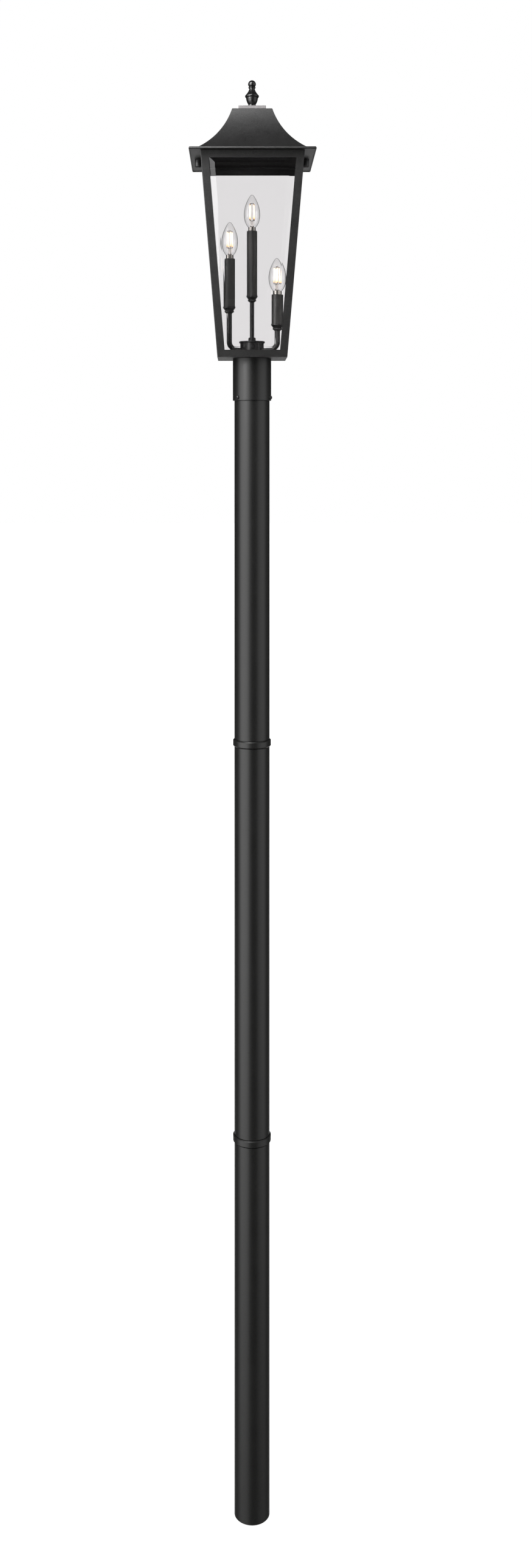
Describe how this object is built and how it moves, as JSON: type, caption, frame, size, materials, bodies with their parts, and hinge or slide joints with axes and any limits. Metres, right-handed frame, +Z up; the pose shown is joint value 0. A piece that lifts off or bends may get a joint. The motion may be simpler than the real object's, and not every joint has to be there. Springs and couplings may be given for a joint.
{
  "type": "lamp post",
  "caption": "Round jointed post carrying a flared square glass lantern with a hollow-curved roof, a finial and a cluster of candle lamps at different heights.",
  "frame": {"origin": "centre of the post's lower end", "axes": "+Z up along the post, -Y the lantern's front as the picture shows it, +X to the viewer's right"},
  "size_m": [0.2666, 0.2666, 3.1086],
  "materials": {
    "black_coat": "satin",
    "textured_coat": "fine sand texture",
    "gloss_black": "gloss",
    "black_steel": "semi-gloss",
    "bright_metal": "satin",
    "zinc_steel": "satin",
    "clear_glass": "polished, bevelled edges",
    "black_cover": "satin",
    "socket_black": "moulded",
    "bright_cap": "bright nickel",
    "lamp_glass": "clear, thin",
    "filament": "glowing filament sticks on a glass stem"
  },
  "bodies": {
    "post": {"post_lower": "black_coat", "coupling_lower": "black_coat", "post_middle": "black_coat", "coupling_upper": "black_coat", "post_upper": "black_coat"},
    "lantern": {"fitter_collar": "black_coat", "set_screws": "black_steel", "floor_plate": "textured_coat", "bottom_rail": "textured_coat", "top_rail": "textured_coat", "stile_front_left": "textured_coat", "stile_front_right": "textured_coat", "stile_back_left": "textured_coat", "stile_back_right": "textured_coat", "glass_front": "clear_glass", "glass_right": "clear_glass", "glass_back": "clear_glass", "glass_left": "clear_glass", "glass_clips": "black_steel", "hub_cup": "gloss_black", "hub_lid": "gloss_black", "stem_nut": "gloss_black", "centre_stem": "gloss_black", "arm_left": "gloss_black", "arm_right": "gloss_black", "arm_nuts": "zinc_steel", "cup_centre": "gloss_black", "cover_centre": "black_cover", "socket_centre": "socket_black", "cup_left": "gloss_black", "cover_left": "black_cover", "socket_left": "socket_black", "cup_right": "gloss_black", "cover_right": "black_cover", "socket_right": "socket_black"},
    "roof": {"roof_shell": "textured_coat", "roof_brim": "textured_coat", "cap_plate": "bright_metal", "roof_studs": "zinc_steel"},
    "finial": {"finial": "gloss_black"},
    "cap_nut_left": {"cap_nut_left": "black_steel"},
    "cap_nut_right": {"cap_nut_right": "black_steel"},
    "lamp_centre": {"lamp_cap_centre": "bright_cap", "lamp_glass_centre": "lamp_glass", "lamp_filaments_centre": "filament"},
    "lamp_left": {"lamp_cap_left": "bright_cap", "lamp_glass_left": "lamp_glass", "lamp_filaments_left": "filament"},
    "lamp_right": {"lamp_cap_right": "bright_cap", "lamp_glass_right": "lamp_glass", "lamp_filaments_right": "filament"}
  },
  "joints": [
    {"name": "lantern_turn", "type": "hinge", "parent": "post", "child": "lantern", "pos_m": [0, 0, 2.46], "axis": [0, 0, 1], "continuous": true},
    {"name": "roof_lift", "type": "slide", "parent": "lantern", "child": "roof", "axis": [0, 0, 1], "range_m": [0, 0.2]},
    {"name": "finial_turn", "type": "hinge", "parent": "roof", "child": "finial", "pos_m": [0, 0, 3.06], "axis": [0, 0, 1], "continuous": true},
    {"name": "cap_nut_left_turn", "type": "hinge", "parent": "lantern", "child": "cap_nut_left", "pos_m": [-0.117, 0, 2.927], "axis": [0, 0, 1], "continuous": true},
    {"name": "cap_nut_right_turn", "type": "hinge", "parent": "lantern", "child": "cap_nut_right", "pos_m": [0.117, 0, 2.927], "axis": [0, 0, 1], "continuous": true},
    {"name": "lamp_centre_turn", "type": "hinge", "parent": "lantern", "child": "lamp_centre", "pos_m": [0, 0, 2.7813], "axis": [0, 0, 1], "continuous": true},
    {"name": "lamp_left_turn", "type": "hinge", "parent": "lantern", "child": "lamp_left", "pos_m": [-0.04806, -0.03353, 2.717], "axis": [0, 0, 1], "continuous": true},
    {"name": "lamp_right_turn", "type": "hinge", "parent": "lantern", "child": "lamp_right", "pos_m": [0.05307, -0.02486, 2.641], "axis": [0, 0, 1], "continuous": true}
  ]
}
